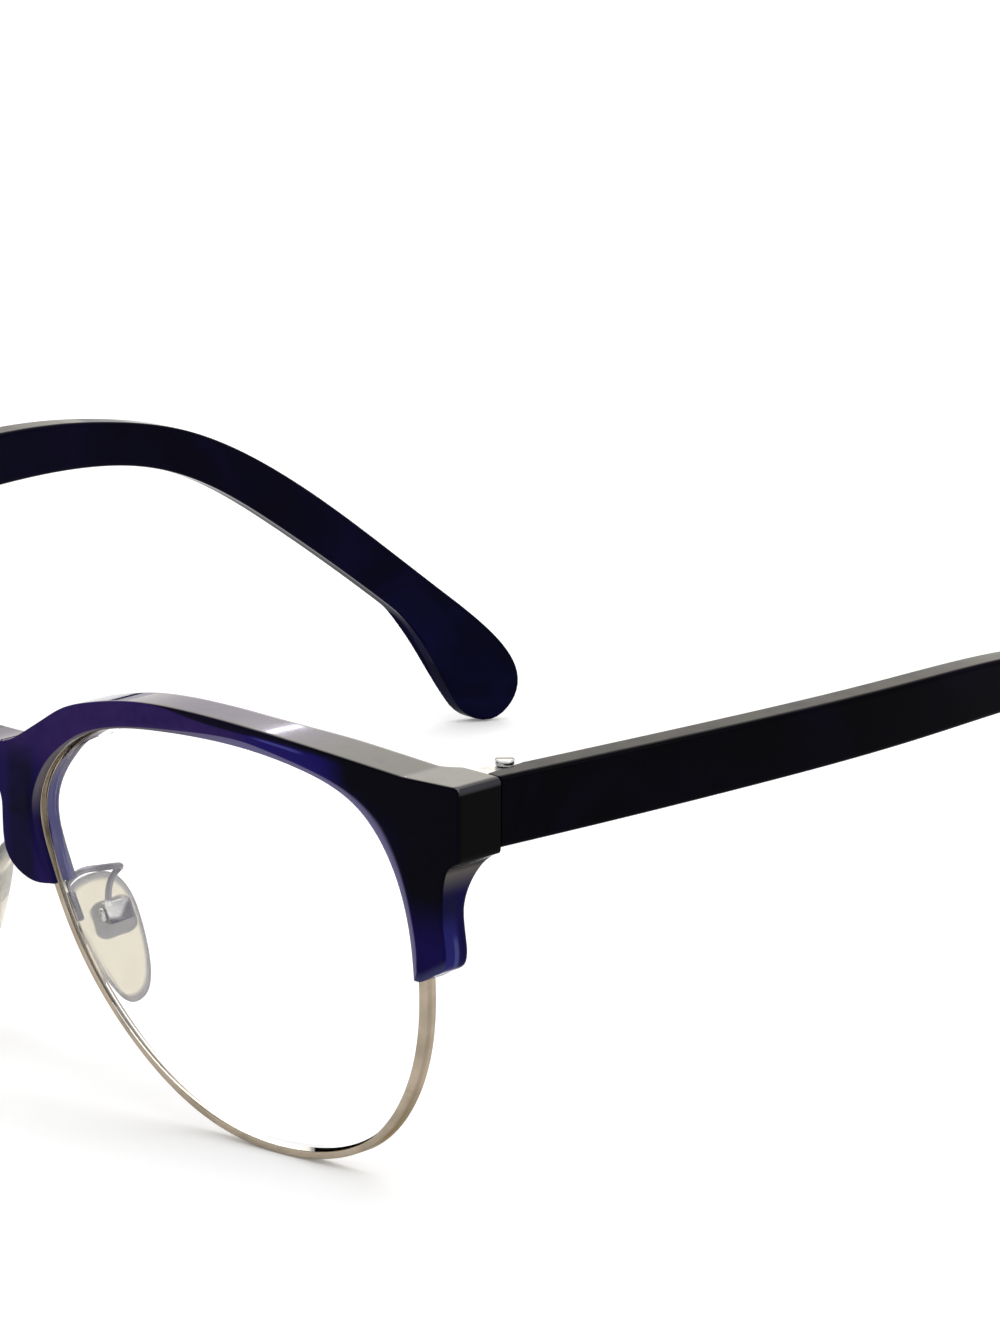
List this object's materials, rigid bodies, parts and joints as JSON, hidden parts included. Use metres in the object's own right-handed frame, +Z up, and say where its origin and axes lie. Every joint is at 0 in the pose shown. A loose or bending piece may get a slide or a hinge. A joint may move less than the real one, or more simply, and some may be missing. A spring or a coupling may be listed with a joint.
{
  "type": "round eyeglasses",
  "caption": "Browline spectacles: rounded metal eyewires with clear lenses in a dark acetate brow, folding curved temples and rocking nose pads.",
  "frame": {"origin": "centre of the overall box in X and Y, on the table plane that the rims and temple tips stand on", "axes": "+X to the wearer's left, +Y back along the temples, away from the front, +Z up"},
  "size_m": [0.15, 0.137, 0.0446],
  "materials": {
    "front_acetate": "polished translucent navy acetate",
    "temple_acetate": "polished near-black navy acetate",
    "eyewire_metal": "satin champagne plating",
    "hinge_steel": "satin",
    "screw_steel": "bright",
    "core_steel": "drawn wire",
    "lens_clear": "clear, coated",
    "pad_soft": "soft translucent",
    "pad_core": "clear hard plastic"
  },
  "bodies": {
    "front": {"brow_front": "front_acetate", "eyewire_left": "eyewire_metal", "eyewire_right": "eyewire_metal", "lens_left": "lens_clear", "lens_right": "lens_clear", "rim_lock_screw_left": "screw_steel", "rim_lock_screw_right": "screw_steel", "pad_arm_left": "eyewire_metal", "pad_arm_right": "eyewire_metal", "pad_screw_left": "screw_steel", "pad_screw_right": "screw_steel", "front_hinge_left": "hinge_steel", "front_hinge_right": "hinge_steel", "hinge_screw_left": "screw_steel", "hinge_screw_right": "screw_steel"},
    "temple_arm_left": {"temple_left": "temple_acetate", "temple_hinge_left": "hinge_steel", "core_wire_left": "core_steel"},
    "temple_arm_right": {"temple_right": "temple_acetate", "temple_hinge_right": "hinge_steel", "core_wire_right": "core_steel"},
    "nose_rest_left": {"nose_pad_left": "pad_soft", "pad_insert_left": "pad_core"},
    "nose_rest_right": {"nose_pad_right": "pad_soft", "pad_insert_right": "pad_core"}
  },
  "joints": [
    {"name": "temple_fold_left", "type": "hinge", "parent": "front", "child": "temple_arm_left", "pos_m": [0.0633, -0.05428, 0.03979], "axis": [0, 0, 1], "range_deg": [0, 88]},
    {"name": "temple_fold_right", "type": "hinge", "parent": "front", "child": "temple_arm_right", "pos_m": [-0.0633, -0.05428, 0.03979], "axis": [0, 0, -1], "range_deg": [0, 82]},
    {"name": "pad_rock_left", "type": "hinge", "parent": "front", "child": "nose_rest_left", "pos_m": [0.01101, -0.05787, 0.01749], "axis": [0.3868, 0.8942, 0.2252], "range_deg": [-8, 8]},
    {"name": "pad_rock_right", "type": "hinge", "parent": "front", "child": "nose_rest_right", "pos_m": [-0.01101, -0.05787, 0.01749], "axis": [0.3868, -0.8942, -0.2252], "range_deg": [-8, 8]}
  ]
}
